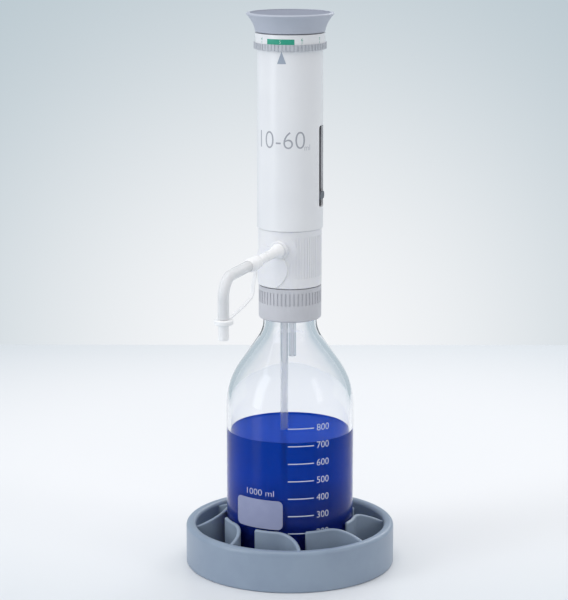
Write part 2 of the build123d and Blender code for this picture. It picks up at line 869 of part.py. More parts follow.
def palm_knob():
    rim_low = knob_top - knob_rim_round
    outside = Line((0, knob_base), (knob_foot_radius, knob_base))
    outside += ThreePointArc(
        (knob_foot_radius, knob_base),
        (knob_waist_radius, knob_base + knob_waist_height),
        (knob_rim_radius, rim_low),
    )
    rim_flat = knob_rim_radius - knob_rim_round
    outside += RadiusArc((knob_rim_radius, rim_low), (rim_flat, knob_top), -knob_rim_round)
    outside += Line((rim_flat, knob_top), (0, knob_top))
    outside += Line((0, knob_top), (0, knob_base))
    body = revolve(Plane.XZ * make_face(outside), Axis.Z)
    seat = knob_top - cover_inset - cover_thickness
    hollow = turned(
        (0, knob_base),
        (scale_bore - knob_spigot_wall, knob_base),
        (knob_foot_radius - knob_wall, knob_base + knob_wall),
        (knob_waist_radius - knob_wall, knob_base + knob_waist_height),
        (cover_radius - knob_wall, seat),
        (cover_radius, seat),
        (cover_radius, knob_top),
        (0, knob_top),
    )
    body -= hollow
    spigot_top = knob_base + knob_wall / 2
    body += tube(scale_bore - run_gap, scale_bore - knob_spigot_wall, scale_base + seat_gap, spigot_top)
    body += tube(knob_hub_radius, pivot_radius + run_gap, scale_base + face_gap, knob_hub_base)
    web_start = pivot_radius + knob_wall
    web_length = scale_bore - knob_spigot_wall / 2 - web_start
    web = Box(web_length, knob_web, knob_hub_base - knob_base, align=(Align.MIN, Align.CENTER, Align.MIN))
    for index in range(knob_web_count):
        body += Rot(0, 0, index * 360 / knob_web_count) * Pos(web_start, 0, knob_base) * web
    return body


def knob_cover():
    top = knob_top - cover_inset
    body = tube(cover_radius - seat_gap, 0, top - cover_thickness + run_gap, top)
    return fillet(body.edges().filter_by(GeomType.CIRCLE).group_by(Axis.Z)[-1], cover_inset)


pieces = (
    ring_holder,
    bottle,
    blue_liquid,
    neck_seat,
    neck_gasket,
    intake_tube,
    tube_extension,
    vent_tube,
    collar_nut,
    valve_block,
    swivel_seal,
    inlet_seat,
    inlet_ball,
    outlet_seat,
    outlet_ball,
    outlet_plug,
    outlet_nozzle,
    union_sleeve,
    tether_ring,
    discharge_tube,
    spout_cap,
    cap_tether,
    glass_cylinder,
    cylinder_guard,
    stop_ring,
    piston,
    piston_seal,
    piston_rod,
    dosing_sleeve,
    stop_nut,
    drive_pinion,
    lead_screw,
    head_plate,
    pivot_washer,
    pivot_screw,
    grip_ring,
    scale_ring,
    palm_knob,
    knob_cover,
)

os.makedirs("parts", exist_ok=True)
for piece in pieces:
    export_step(piece(), f"parts/{piece.__name__}.step")
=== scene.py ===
from math import cos, pi, radians, sin, tan

import bmesh
import bpy
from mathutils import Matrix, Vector


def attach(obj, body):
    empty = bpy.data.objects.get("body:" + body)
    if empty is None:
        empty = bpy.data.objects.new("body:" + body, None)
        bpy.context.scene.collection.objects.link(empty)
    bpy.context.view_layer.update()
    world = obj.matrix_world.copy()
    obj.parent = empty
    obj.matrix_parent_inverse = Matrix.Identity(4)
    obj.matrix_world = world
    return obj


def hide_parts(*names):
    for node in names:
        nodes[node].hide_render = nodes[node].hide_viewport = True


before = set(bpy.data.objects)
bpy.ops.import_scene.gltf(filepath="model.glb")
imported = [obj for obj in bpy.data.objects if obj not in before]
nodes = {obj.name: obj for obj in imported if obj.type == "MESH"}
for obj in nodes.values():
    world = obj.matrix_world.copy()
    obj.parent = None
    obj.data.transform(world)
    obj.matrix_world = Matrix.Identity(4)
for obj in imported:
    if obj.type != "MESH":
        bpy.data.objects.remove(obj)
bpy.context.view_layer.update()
scene = bpy.context.scene
scene.view_settings.view_transform = "Standard"

# Studio: a pale glossy table that ends behind the bottle, and a pale backdrop that only
# the camera, reflections and clear pieces see. Large soft lamps stand left, right, behind
# and above.
table_half_width = 3.2
table_front = -3.2
table_back = 0.755
table_middle = (0, 0.35, 0)
# Painted light on the table: its colour is brightest under the object and falls to painted shade all
# round.
table_painted_light_to = 0.2
table_painted_shade_from = 0.88
table_painted_light = (0.91, 0.91, 0.925, 1)
table_painted_shade = (0.50, 0.57, 0.62, 1)
backdrop_bright = (0.90, 0.915, 0.935, 1)
backdrop_dim = (0.50, 0.585, 0.635, 1)
backdrop_dip = radians(14)
backdrop_bright_to = 0.02
backdrop_dim_from = 0.24
room_front = (0.10, 0.12, 0.15, 1)
front_from = 1.0
front_to = 1.7
room_light = (0.97, 0.98, 1.0, 1)
room_strength = 0.71


def link(tree, source, target):
    tree.links.new(source, target)


def group_sockets(group, inputs, outputs):
    """Names a shader group's inputs and outputs, and gives back its two end nodes."""
    for side, sockets in (("INPUT", inputs), ("OUTPUT", outputs)):
        for name, kind in sockets:
            group.interface.new_socket(name=name, in_out=side, socket_type=f"NodeSocket{kind}")
    return group.nodes.new("NodeGroupInput"), group.nodes.new("NodeGroupOutput")


def falloff_group():
    """Colour that passes smoothly into another between two distances."""
    group = bpy.data.node_groups.new("Falloff", "ShaderNodeTree")
    inputs = [
        ("Distance", "Float"),
        ("Near", "Float"),
        ("Far", "Float"),
        ("Near colour", "Color"),
        ("Far colour", "Color"),
    ]
    given, result = group_sockets(group, inputs, [("Colour", "Color")])
    ramp = group.nodes.new("ShaderNodeMapRange")
    ramp.interpolation_type = "SMOOTHSTEP"
    link(group, given.outputs["Distance"], ramp.inputs["Value"])
    link(group, given.outputs["Near"], ramp.inputs["From Min"])
    link(group, given.outputs["Far"], ramp.inputs["From Max"])
    shade = group.nodes.new("ShaderNodeMix")
    shade.data_type = "RGBA"
    link(group, ramp.outputs["Result"], shade.inputs["Factor"])
    link(group, given.outputs["Near colour"], shade.inputs["A"])
    link(group, given.outputs["Far colour"], shade.inputs["B"])
    link(group, shade.outputs["Result"], result.inputs["Colour"])
    return group


falloff_tree = falloff_group()


def falloff(tree, distance, near, far, near_colour, far_colour):
    """Places the falloff in a material and gives back its node."""
    node = tree.nodes.new("ShaderNodeGroup")
    node.node_tree = falloff_tree
    node.inputs["Near"].default_value = near
    node.inputs["Far"].default_value = far
    node.inputs["Near colour"].default_value = near_colour
    node.inputs["Far colour"].default_value = far_colour
    link(tree, distance, node.inputs["Distance"])
    return node


def distance_from(tree, point, place):
    """Distance of a coordinate from a point."""
    reach = tree.nodes.new("ShaderNodeVectorMath")
    reach.operation = "DISTANCE"
    reach.inputs[1].default_value = point
    link(tree, place, reach.inputs[0])
    return reach.outputs["Value"]


def table_top():
    """Flat table whose colour carries a painted pool of light: brightest under the object, with painted
    shade all round.
    """
    mesh = bpy.data.meshes.new("table")
    corners = [
        (-table_half_width, table_front, 0),
        (table_half_width, table_front, 0),
        (table_half_width, table_back, 0),
        (-table_half_width, table_back, 0),
    ]
    mesh.from_pydata(corners, [], [(0, 1, 2, 3)])
    table = bpy.data.objects.new("table", mesh)
    scene.collection.objects.link(table)
    material = bpy.data.materials.new("Table lacquer")
    material.use_nodes = True
    tree = material.node_tree
    shader = tree.nodes["Principled BSDF"]
    shader.inputs["Roughness"].default_value = 0.24
    shader.inputs["Specular IOR Level"].default_value = 0.35
    place = tree.nodes.new("ShaderNodeTexCoord")
    reach = distance_from(tree, table_middle, place.outputs["Object"])
    # Painted pool of light and painted shade: the colour fades from light to dark with distance from the
    # object.
    shade = falloff(tree, reach, table_painted_light_to, table_painted_shade_from, table_painted_light, table_painted_shade)
    link(tree, shade.outputs["Colour"], shader.inputs["Base Color"])
    mesh.materials.append(material)


def larger(tree, first, second):
    """The larger of two values."""
    most = tree.nodes.new("ShaderNodeMath")
    most.operation = "MAXIMUM"
    link(tree, first, most.inputs[0])
    link(tree, second, most.inputs[1])
    return most.outputs["Value"]


def backdrop():
    """World: even light for the object, and a brighter middle behind it where it is seen."""
    world = bpy.data.worlds.new("Backdrop")
    scene.world = world
    world.use_nodes = True
    tree = world.node_tree
    light = tree.nodes["Background"]
    light.inputs["Color"].default_value = room_light
    light.inputs["Strength"].default_value = room_strength
    place = tree.nodes.new("ShaderNodeTexCoord")
    middle = (0, cos(backdrop_dip), -sin(backdrop_dip))
    turn = distance_from(tree, middle, place.outputs["Generated"])
    behind = falloff(
        tree, turn, backdrop_bright_to, backdrop_dim_from, backdrop_bright, backdrop_dim
    )
    around = falloff(tree, turn, front_from, front_to, backdrop_dim, room_front)
    link(tree, behind.outputs["Colour"], around.inputs["Near colour"])
    path = tree.nodes.new("ShaderNodeLightPath")
    shade = tree.nodes.new("ShaderNodeMix")
    shade.data_type = "RGBA"
    link(tree, path.outputs["Is Glossy Ray"], shade.inputs["Factor"])
    link(tree, behind.outputs["Colour"], shade.inputs["A"])
    link(tree, around.outputs["Colour"], shade.inputs["B"])
    seen = tree.nodes.new("ShaderNodeBackground")
    link(tree, shade.outputs["Result"], seen.inputs["Color"])
    through = larger(tree, path.outputs["Is Camera Ray"], path.outputs["Is Transmission Ray"])
    mix = tree.nodes.new("ShaderNodeMixShader")
    link(tree, larger(tree, through, path.outputs["Is Glossy Ray"]), mix.inputs["Fac"])
    link(tree, light.outputs["Background"], mix.inputs[1])
    link(tree, seen.outputs["Background"], mix.inputs[2])
    link(tree, mix.outputs["Shader"], tree.nodes["World Output"].inputs["Surface"])


def softbox(name, place, aimed_at, size, watts, colour):
    """Large soft lamp that faces a point, with its width and height in metres."""
    data = bpy.data.lights.new(name, "AREA")
    data.shape = "RECTANGLE"
    data.size, data.size_y = size
    data.energy = watts
    data.color = colour
    lamp = bpy.data.objects.new(name, data)
    lamp.location = place
    aim = Vector(aimed_at) - Vector(place)
    lamp.rotation_euler = aim.to_track_quat("-Z", "Y").to_euler()
    scene.collection.objects.link(lamp)


table_top()
backdrop()
softbox(
    "left_softbox",
    place=(-1.7, -0.9, 0.9),
    aimed_at=(0, 0, 0.2),
    size=(0.7, 1.8),
    watts=14.5,
    colour=(0.94, 0.965, 1.0),
)
softbox(
    "right_softbox",
    place=(1.8, -1.1, 1.1),
    aimed_at=(0, 0, 0.25),
    size=(0.5, 1.4),
    watts=5.5,
    colour=(1.0, 0.95, 0.91),
)
softbox(
    "back_softbox",
    place=(0.9, 1.5, 1.3),
    aimed_at=(0, 0, 0.2),
    size=(1.0, 1.0),
    watts=9,
    colour=(0.95, 0.97, 1.0),
)
softbox(
    "top_softbox",
    place=(-0.2, -0.3, 2.1),
    aimed_at=(0, 0, 0.2),
    size=(1.2, 1.2),
    watts=10,
    colour=(1.0, 1.0, 1.0),
)

camera_data = bpy.data.cameras.new("camera")
camera_data.sensor_width = 36
camera_data.lens = 131.45
camera_data.clip_start = 0.1
camera_data.clip_end = 60
camera = bpy.data.objects.new("camera", camera_data)
camera.location = (0, -1.68798, 0.57419)
camera.rotation_euler = (radians(77.948), 0, radians(0.161))
scene.collection.objects.link(camera)
scene.camera = camera

# Ring holder: one soft ring of blue-grey elastomer with eight sprung vanes, moulded in one
# piece. Its solid has the real shape, so it gets only its finish here.


def moulded_skin():
    """Colour, roughness and normal of a moulded surface, slightly clouded and finely grained."""
    group = bpy.data.node_groups.new("Moulded skin", "ShaderNodeTree")
    inputs = [
        ("Colour", "Color"),
        ("Shade", "Color"),
        ("Cloud scale", "Float"),
        ("Grain scale", "Float"),
        ("Grain height", "Float"),
        ("Roughness", "Float"),
        ("Roughness spread", "Float"),
    ]
    outputs = [("Colour", "Color"), ("Roughness", "Float"), ("Normal", "Vector")]
    given, result = group_sockets(group, inputs, outputs)
    place = group.nodes.new("ShaderNodeTexCoord")
    cloud = group.nodes.new("ShaderNodeTexNoise")
    cloud.inputs["Detail"].default_value = 4
    link(group, place.outputs["Object"], cloud.inputs["Vector"])
    link(group, given.outputs["Cloud scale"], cloud.inputs["Scale"])
    spread = group.nodes.new("ShaderNodeMapRange")
    spread.inputs["From Min"].default_value = 0.35
    spread.inputs["From Max"].default_value = 0.65
    link(group, cloud.outputs["Fac"], spread.inputs["Value"])
    tint = group.nodes.new("ShaderNodeMix")
    tint.data_type = "RGBA"
    link(group, spread.outputs["Result"], tint.inputs["Factor"])
    link(group, given.outputs["Colour"], tint.inputs["A"])
    link(group, given.outputs["Shade"], tint.inputs["B"])
    link(group, tint.outputs["Result"], result.inputs["Colour"])
    rough = group.nodes.new("ShaderNodeMath")
    rough.operation = "MULTIPLY_ADD"
    link(group, spread.outputs["Result"], rough.inputs[0])
    link(group, given.outputs["Roughness spread"], rough.inputs[1])
    link(group, given.outputs["Roughness"], rough.inputs[2])
    link(group, rough.outputs["Value"], result.inputs["Roughness"])
    grain = group.nodes.new("ShaderNodeTexNoise")
    grain.inputs["Detail"].default_value = 2
    link(group, place.outputs["Object"], grain.inputs["Vector"])
    link(group, given.outputs["Grain scale"], grain.inputs["Scale"])
    bump = group.nodes.new("ShaderNodeBump")
    bump.inputs["Strength"].default_value = 0.6
    link(group, grain.outputs["Fac"], bump.inputs["Height"])
    link(group, given.outputs["Grain height"], bump.inputs["Distance"])
    link(group, bump.outputs["Normal"], result.inputs["Normal"])
    return group


skin = moulded_skin()


def plastic(name, colour, shade, roughness, spread=0.08, cloud=60, grain=2500, depth=0.00003, **sockets):
    """Moulded plastic or rubber; further sockets of its shader are given by name."""
    material = bpy.data.materials.new(name)
    material.use_nodes = True
    tree = material.node_tree
    shader = tree.nodes["Principled BSDF"]
    surface = tree.nodes.new("ShaderNodeGroup")
    surface.node_tree = skin
    surface.inputs["Colour"].default_value = (*colour, 1)
    surface.inputs["Shade"].default_value = (*shade, 1)
    surface.inputs["Cloud scale"].default_value = cloud
    surface.inputs["Grain scale"].default_value = grain
    surface.inputs["Grain height"].default_value = depth
    surface.inputs["Roughness"].default_value = roughness
    surface.inputs["Roughness spread"].default_value = spread
    link(tree, surface.outputs["Colour"], shader.inputs["Base Color"])
    link(tree, surface.outputs["Roughness"], shader.inputs["Roughness"])
    link(tree, surface.outputs["Normal"], shader.inputs["Normal"])
    for socket, value in sockets.items():
        shader.inputs[socket.replace("_", " ")].default_value = value
    return material


def finish(material, *names):
    """Gives CAD nodes their material."""
    for name in names:
        nodes[name].data.materials[0] = material


elastomer = plastic(
    "Holder elastomer",
    (0.235, 0.30, 0.395),
    (0.265, 0.335, 0.43),
    0.38,
    cloud=35,
    grain=1800,
    depth=0.00006,
    Coat_Weight=0.25,
    Coat_Roughness=0.3,
)
finish(elastomer, "ring_holder")

# Bottle: blown clear glass with a screw neck, turned here from its inner and outer lines so
# that the wall refracts cleanly. Thread, graduations and the writing patch are on its outside.
mm = 0.001
bottle_radius = 50.5
bottle_wall = 3.1
bottle_bottom = 2.5
bottle_floor = 3.0
bottle_dent = 1.2
inner_dent = 0.6
dent_radius = 30
dent_round = 20
foot_radius = 36
foot_round = 4
bottle_lip = 222.0
neck_radius = 21.0
neck_bore = 16.3
neck_corner = 198.3
shoulder_slope = radians(34.7)
heel_round = 6.0
inner_heel_round = 9.0
shoulder_round = 60.0
throat_round = 25.0
lip_round = 2.2
lip_inner_round = 1.6
corner_turn = tan(shoulder_slope / 2)
throat_corner = neck_corner - throat_round * corner_turn
shoulder_corner = throat_corner - (bottle_radius - neck_radius) / tan(shoulder_slope)


def rounded(points):
    """Line of (radius, height) points whose corners have the radius given third."""
    steps = 10
    line = []
    for index, point in enumerate(points):
        if len(point) < 3:
            line.append(Vector(point[:2]))
            continue
        corner = Vector(point[:2])
        before = (Vector(points[index - 1][:2]) - corner).normalized()
        after = (Vector(points[index + 1][:2]) - corner).normalized()
        half = before.angle(after) / 2
        reach = point[2] / tan(half)
        centre = corner + (before + after).normalized() * (point[2] / sin(half))
        start = corner + before * reach - centre
        turn = start.angle_signed(corner + after * reach - centre)
        for step in range(steps + 1):
            angle = turn * step / steps
            x = start.x * cos(angle) + start.y * sin(angle)
            y = start.y * cos(angle) - start.x * sin(angle)
            line.append(centre + Vector((x, y)))
    return line


def lathe(name, line):
    """Closed solid of revolution about Z, in millimetres, from a line that may touch the axis."""
    turns = 128
    mesh = bpy.data.meshes.new(name)
    form = bmesh.new()
    rings = []
    for point in line:
        if point.x < 1e-6:
            rings.append([form.verts.new((0, 0, point.y * mm))])
            continue
        ring = []
        for index in range(turns):
            angle = 2 * pi * index / turns
            place = Vector((point.x * cos(angle), point.x * sin(angle), point.y))
            ring.append(form.verts.new(place * mm))
        rings.append(ring)
    for low, high in zip(rings, rings[1:] + rings[:1]):
        for index in range(turns):
            after = (index + 1) % turns
            lower = [low[index % len(low)], low[after % len(low)]]
            upper = [high[after % len(high)], high[index % len(high)]]
            corners = list(dict.fromkeys(lower + upper))
            if len(corners) > 2:
                form.faces.new(corners)
    bmesh.ops.recalc_face_normals(form, faces=form.faces)
    form.to_mesh(mesh)
    form.free()
    mesh.shade_smooth()
    turned = bpy.data.objects.new(name, mesh)
    scene.collection.objects.link(turned)
    return turned


def glass_line():
    """Half section of the bottle: outside from the foot up to the lip, then back down inside."""
    neck_wall = neck_radius - neck_bore
    inner_radius = bottle_radius - bottle_wall
    inner_floor = bottle_bottom + bottle_floor
    outside = [
        (0, bottle_bottom + bottle_dent),
        (dent_radius, bottle_bottom + bottle_dent, dent_round),
        (foot_radius, bottle_bottom, foot_round),
        (bottle_radius, bottle_bottom, heel_round),
        (bottle_radius, shoulder_corner, shoulder_round),
        (neck_radius, throat_corner, throat_round),
        (neck_radius, bottle_lip, lip_round),
        (neck_bore, bottle_lip, lip_inner_round),
    ]
    inside = [
        (neck_bore, throat_corner - neck_wall * corner_turn, throat_round + neck_wall),
        (inner_radius, shoulder_corner - bottle_wall * corner_turn, shoulder_round - bottle_wall),
        (inner_radius, inner_floor, inner_heel_round),
        (0, inner_floor + inner_dent),
    ]
    return rounded(outside + inside)


def waviness_group():
    """Normal of a surface that is only just uneven."""
    group = bpy.data.node_groups.new("Waviness", "ShaderNodeTree")
    given, result = group_sockets(group, [("Scale", "Float"), ("Height", "Float")], [("Normal", "Vector")])
    place = group.nodes.new("ShaderNodeTexCoord")
    wave = group.nodes.new("ShaderNodeTexNoise")
    link(group, place.outputs["Object"], wave.inputs["Vector"])
    link(group, given.outputs["Scale"], wave.inputs["Scale"])
    bump = group.nodes.new("ShaderNodeBump")
    bump.inputs["Strength"].default_value = 0.25
    link(group, wave.outputs["Fac"], bump.inputs["Height"])
    link(group, given.outputs["Height"], bump.inputs["Distance"])
    link(group, bump.outputs["Normal"], result.inputs["Normal"])
    return group


waviness = waviness_group()


def clear(name, colour, ior, roughness):
    """Clear glass or liquid, with only the smallest waviness in its surface."""
    material = bpy.data.materials.new(name)
    material.use_nodes = True
    tree = material.node_tree
    shader = tree.nodes["Principled BSDF"]
    shader.inputs["Base Color"].default_value = (*colour, 1)
    shader.inputs["Transmission Weight"].default_value = 1
    shader.inputs["IOR"].default_value = ior
    shader.inputs["Roughness"].default_value = roughness
    surface = tree.nodes.new("ShaderNodeGroup")
    surface.node_tree = waviness
    surface.inputs["Scale"].default_value = 26
    surface.inputs["Height"].default_value = 0.2 * mm
    link(tree, surface.outputs["Normal"], shader.inputs["Normal"])
    return material


def tinted(material, colour, density):
    """Lets the thickness of a clear wall darken it, most at its edges."""
    tree = material.node_tree
    depth = tree.nodes.new("ShaderNodeVolumeAbsorption")
    depth.inputs["Color"].default_value = (*colour, 1)
    depth.inputs["Density"].default_value = density
    link(tree, depth.outputs["Volume"], tree.nodes["Material Output"].inputs["Volume"])


bottle_glass = clear("Bottle glass", (0.985, 0.99, 1.0), 1.25, 0.0)
tinted(bottle_glass, (0.66, 0.74, 0.84), 8)
bottle = lathe("bottle_glass", glass_line())
bottle.data.materials.append(bottle_glass)
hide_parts("bottle")
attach(bottle, "bottle")


def tree_inputs(group, sizes, count=None):
    """Named inputs of a geometry tree, with the count first where it has one."""
    if count:
        socket = group.interface.new_socket(name="Count", in_out="INPUT", socket_type="NodeSocketInt")
        socket.default_value = count
    for name, value in sizes:
        socket = group.interface.new_socket(name=name, in_out="INPUT", socket_type="NodeSocketFloat")
        socket.default_value = value
    return group.nodes.new("NodeGroupInput")


def upright(group, given, name):
    """Vector straight up, as long as a named input."""
    vector = group.nodes.new("ShaderNodeCombineXYZ")
    link(group, given.outputs[name], vector.inputs["Z"])
    return vector.outputs["Vector"]


def grown(name, group, settings, material):
    """Plain mesh that a node tree makes, with its named sizes set."""
    holder = bpy.data.objects.new(name, bpy.data.meshes.new(name))
    scene.collection.objects.link(holder)
    modifier = holder.modifiers.new("tree", "NODES")
    modifier.node_group = group
    for socket in group.interface.items_tree:
        if socket.in_out == "INPUT" and socket.name in settings:
            modifier[socket.identifier] = settings[socket.name]
    evaluated = holder.evaluated_get(bpy.context.evaluated_depsgraph_get())
    mesh = bpy.data.meshes.new_from_object(evaluated)
    holder.modifiers.remove(modifier)
    holder.data = mesh
    mesh.materials.clear()
    mesh.materials.append(material)
    return holder


def closing(group, geometry, material):
    """Ends a tree: its instances become real and take their material."""
    real = group.nodes.new("GeometryNodeRealizeInstances")
    painted = group.nodes.new("GeometryNodeSetMaterial")
    painted.inputs["Material"].default_value = material
    result = group.nodes.new("NodeGroupOutput")
    group.interface.new_socket(name="Geometry", in_out="OUTPUT", socket_type="NodeSocketGeometry")
    link(group, geometry, real.inputs["Geometry"])
    link(group, real.outputs["Geometry"], painted.inputs["Geometry"])
    link(group, painted.outputs["Geometry"], result.inputs["Geometry"])


def thread_tree():
    """Round thread: a spiral with a round section."""
    group = bpy.data.node_groups.new("Neck thread", "GeometryNodeTree")
    sizes = [("Radius", 0.02), ("Rise", 0.01), ("Turns", 2.0), ("Ridge", 0.001), ("Start height", 0.2)]
    given = tree_inputs(group, sizes)
    spiral = group.nodes.new("GeometryNodeCurveSpiral")
    spiral.inputs["Resolution"].default_value = 72
    link(group, given.outputs["Turns"], spiral.inputs["Rotations"])
    link(group, given.outputs["Radius"], spiral.inputs["Start Radius"])
    link(group, given.outputs["Radius"], spiral.inputs["End Radius"])
    link(group, given.outputs["Rise"], spiral.inputs["Height"])
    section = group.nodes.new("GeometryNodeCurvePrimitiveCircle")
    section.inputs["Resolution"].default_value = 10
    link(group, given.outputs["Ridge"], section.inputs["Radius"])
    sweep = group.nodes.new("GeometryNodeCurveToMesh")
    sweep.inputs["Fill Caps"].default_value = True
    link(group, spiral.outputs["Curve"], sweep.inputs["Curve"])
    link(group, section.outputs["Curve"], sweep.inputs["Profile Curve"])
    place = group.nodes.new("GeometryNodeTransform")
    link(group, sweep.outputs["Mesh"], place.inputs["Geometry"])
    link(group, upright(group, given, "Start height"), place.inputs["Translation"])
    closing(group, place.outputs["Geometry"], bottle_glass)
    return group


thread_sizes = {
    "Radius": neck_radius * mm,
    "Rise": 9.5 * mm,
    "Turns": 2.4,
    "Ridge": 1.15 * mm,
    "Start height": 208.5 * mm,
}
thread = grown("bottle_thread", thread_tree(), thread_sizes, bottle_glass)
thread.data.shade_smooth()
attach(thread, "bottle")

enamel = plastic("Fired enamel", (0.56, 0.64, 0.82), (0.62, 0.69, 0.85), 0.45, cloud=400)
patch_enamel = plastic(
    "Patch enamel", (0.27, 0.30, 0.47), (0.30, 0.33, 0.50), 0.55, cloud=90, grain=4000
)
strip_width = 0.8 * mm
print_thickness = 0.04 * mm
figure_share = 0.72


def wrap(mesh, radius, azimuth, height):
    """Cuts a flat drawing in upright strips and bends it round a cylinder; its Z stands proud."""
    form = bmesh.new()
    form.from_mesh(mesh)
    half = max(abs(vertex.co.x) for vertex in form.verts)
    strips = int(half / strip_width)
    for index in range(-strips, strips + 1):
        parts = form.verts[:] + form.edges[:] + form.faces[:]
        cut = (index * strip_width, 0, 0)
        bmesh.ops.bisect_plane(form, geom=parts, plane_co=cut, plane_no=(1, 0, 0))
    form.to_mesh(mesh)
    form.free()
    for vertex in mesh.vertices:
        x, y, z = vertex.co
        reach = radius + z
        angle = azimuth + x / radius
        vertex.co = (reach * sin(angle), -reach * cos(angle), height + y)


def wording(name, words, size, azimuth, height, radius, material, squeeze=1.0, thin=0.0):
    """Figures of a size in millimetres, printed round a cylinder and centred on a point."""
    curve = bpy.data.curves.new(name, "FONT")
    curve.body = words
    curve.size = size * mm / figure_share
    curve.align_x = "CENTER"
    curve.align_y = "CENTER"
    curve.extrude = print_thickness
    curve.offset = -thin * mm
    curve.resolution_u = 5
    text = bpy.data.objects.new(name, curve)
    scene.collection.objects.link(text)
    mesh = bpy.data.meshes.new_from_object(text.evaluated_get(bpy.context.evaluated_depsgraph_get()))
    bpy.data.objects.remove(text)
    for vertex in mesh.vertices:
        vertex.co.x *= squeeze
    wrap(mesh, radius * mm, radians(azimuth), height * mm)
    mesh.materials.clear()
    mesh.materials.append(material)
    printed = bpy.data.objects.new(name, mesh)
    scene.collection.objects.link(printed)
    return printed


def panel(name, radius, middle, half_turn, low, high, corner, material, thickness=0.05):
    """Thin plate with round corners on an upright cylinder, sizes in millimetres and degrees."""
    columns = 40
    corner_steps = 6
    mesh = bpy.data.meshes.new(name)
    form = bmesh.new()
    half_width = radius * radians(half_turn)
    places = {half_width * (2 * index / columns - 1) for index in range(columns + 1)}
    for step in range(1, corner_steps):
        place = half_width - corner * (1 - cos(pi / 2 * step / corner_steps))
        places |= {-place, place}
    rows = []
    for x in sorted(places):
        inset = max(0, abs(x) - (half_width - corner))
        drop = corner - max(0, corner**2 - inset**2) ** 0.5
        angle = radians(middle) + x / radius
        column = []
        for reach in (radius - thickness, radius + thickness):
            for z in (low + drop, high - drop):
                place = Vector((reach * sin(angle), -reach * cos(angle), z))
                column.append(form.verts.new(place * mm))
        rows.append(column)
    for left, right in zip(rows, rows[1:]):
        for first, second in ((0, 1), (1, 3), (3, 2), (2, 0)):
            form.faces.new((left[first], left[second], right[second], right[first]))
    for end in (rows[0], rows[-1]):
        form.faces.new([end[index] for index in (0, 1, 3, 2)])
    bmesh.ops.remove_doubles(form, verts=form.verts, dist=1e-7)
    bmesh.ops.recalc_face_normals(form, faces=form.faces)
    form.to_mesh(mesh)
    form.free()
    mesh.materials.append(material)
    plate = bpy.data.objects.new(name, mesh)
    scene.collection.objects.link(plate)
    return plate


def ladder_tree():
    """Short level marks round a cylinder, one above the other."""
    group = bpy.data.node_groups.new("Graduations", "GeometryNodeTree")
    sizes = [
        ("Radius", 0.05),
        ("Start angle", 0.0),
        ("Sweep angle", 0.4),
        ("Pitch", 0.01),
        ("Lowest", 0.03),
        ("Width", 0.0005),
        ("Thickness", 0.0001),
    ]
    given = tree_inputs(group, sizes, count=7)
    arc = group.nodes.new("GeometryNodeCurveArc")
    arc.inputs["Resolution"].default_value = 14
    for name in ("Radius", "Start Angle", "Sweep Angle"):
        link(group, given.outputs[name.capitalize()], arc.inputs[name])
    section = group.nodes.new("GeometryNodeCurvePrimitiveQuadrilateral")
    link(group, given.outputs["Thickness"], section.inputs["Width"])
    link(group, given.outputs["Width"], section.inputs["Height"])
    sweep = group.nodes.new("GeometryNodeCurveToMesh")
    sweep.inputs["Fill Caps"].default_value = True
    link(group, arc.outputs["Curve"], sweep.inputs["Curve"])
    link(group, section.outputs["Curve"], sweep.inputs["Profile Curve"])
    places = group.nodes.new("GeometryNodeMeshLine")
    link(group, given.outputs["Count"], places.inputs["Count"])
    link(group, upright(group, given, "Lowest"), places.inputs["Start Location"])
    link(group, upright(group, given, "Pitch"), places.inputs["Offset"])
    copies = group.nodes.new("GeometryNodeInstanceOnPoints")
    link(group, places.outputs["Mesh"], copies.inputs["Points"])
    link(group, sweep.outputs["Mesh"], copies.inputs["Instance"])
    closing(group, copies.outputs["Instances"], enamel)
    return group


mark_count = 7
mark_first = 200
mark_step = 100
mark_pitch = 14.15
mark_lowest = 37.4
mark_start = -1.8
mark_end = 21.7
mark_figures = 30.6
mark_sizes = {
    "Count": mark_count,
    "Radius": bottle_radius * mm,
    "Start angle": radians(mark_start - 90),
    "Sweep angle": radians(mark_end - mark_start),
    "Pitch": mark_pitch * mm,
    "Lowest": mark_lowest * mm,
    "Width": 0.75 * mm,
    "Thickness": 0.12 * mm,
}
marks = grown("bottle_graduations", ladder_tree(), mark_sizes, enamel)
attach(marks, "bottle")
for step in range(mark_count):
    millilitres = mark_first + mark_step * step
    figures = wording(
        f"bottle_figures_{millilitres}",
        str(millilitres),
        size=5.5,
        azimuth=mark_figures,
        height=mark_lowest + mark_pitch * step,
        radius=bottle_radius,
        material=enamel,
        thin=0.06,
    )
    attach(figures, "bottle")
capacity = wording(
    "bottle_capacity",
    "1000 ml",
    size=5.2,
    azimuth=-28.7,
    height=69.2,
    radius=bottle_radius,
    material=enamel,
    squeeze=1.12,
    thin=0.12,
)
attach(capacity, "bottle")
patch = panel(
    "bottle_patch",
    bottle_radius,
    middle=-30.3,
    half_turn=23.9,
    low=40.3,
    high=63.8,
    corner=4.2,
    material=patch_enamel,
)
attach(patch, "bottle")

# Filling: a dyed blue liquid up to about the 700 line. Its wall laps a hair into the glass,
# as wetted glass has no air behind it, and its surface climbs a little at the wall.
liquid_level = 109.0
wetting = 0.05
liquid_radius = bottle_radius - bottle_wall + wetting
liquid_bottom = bottle_bottom + bottle_floor - wetting
meniscus = ((0, 1.3), (0.35, 0.75), (1.0, 0.3), (2.4, 0.05), (4.5, 0))
liquid_line = rounded([
    (0, liquid_bottom + inner_dent),
    (liquid_radius, liquid_bottom, inner_heel_round),
    *[(liquid_radius - inward, liquid_level + climb) for inward, climb in meniscus],
    (0, liquid_level),
])
liquid = lathe("blue_filling", liquid_line)


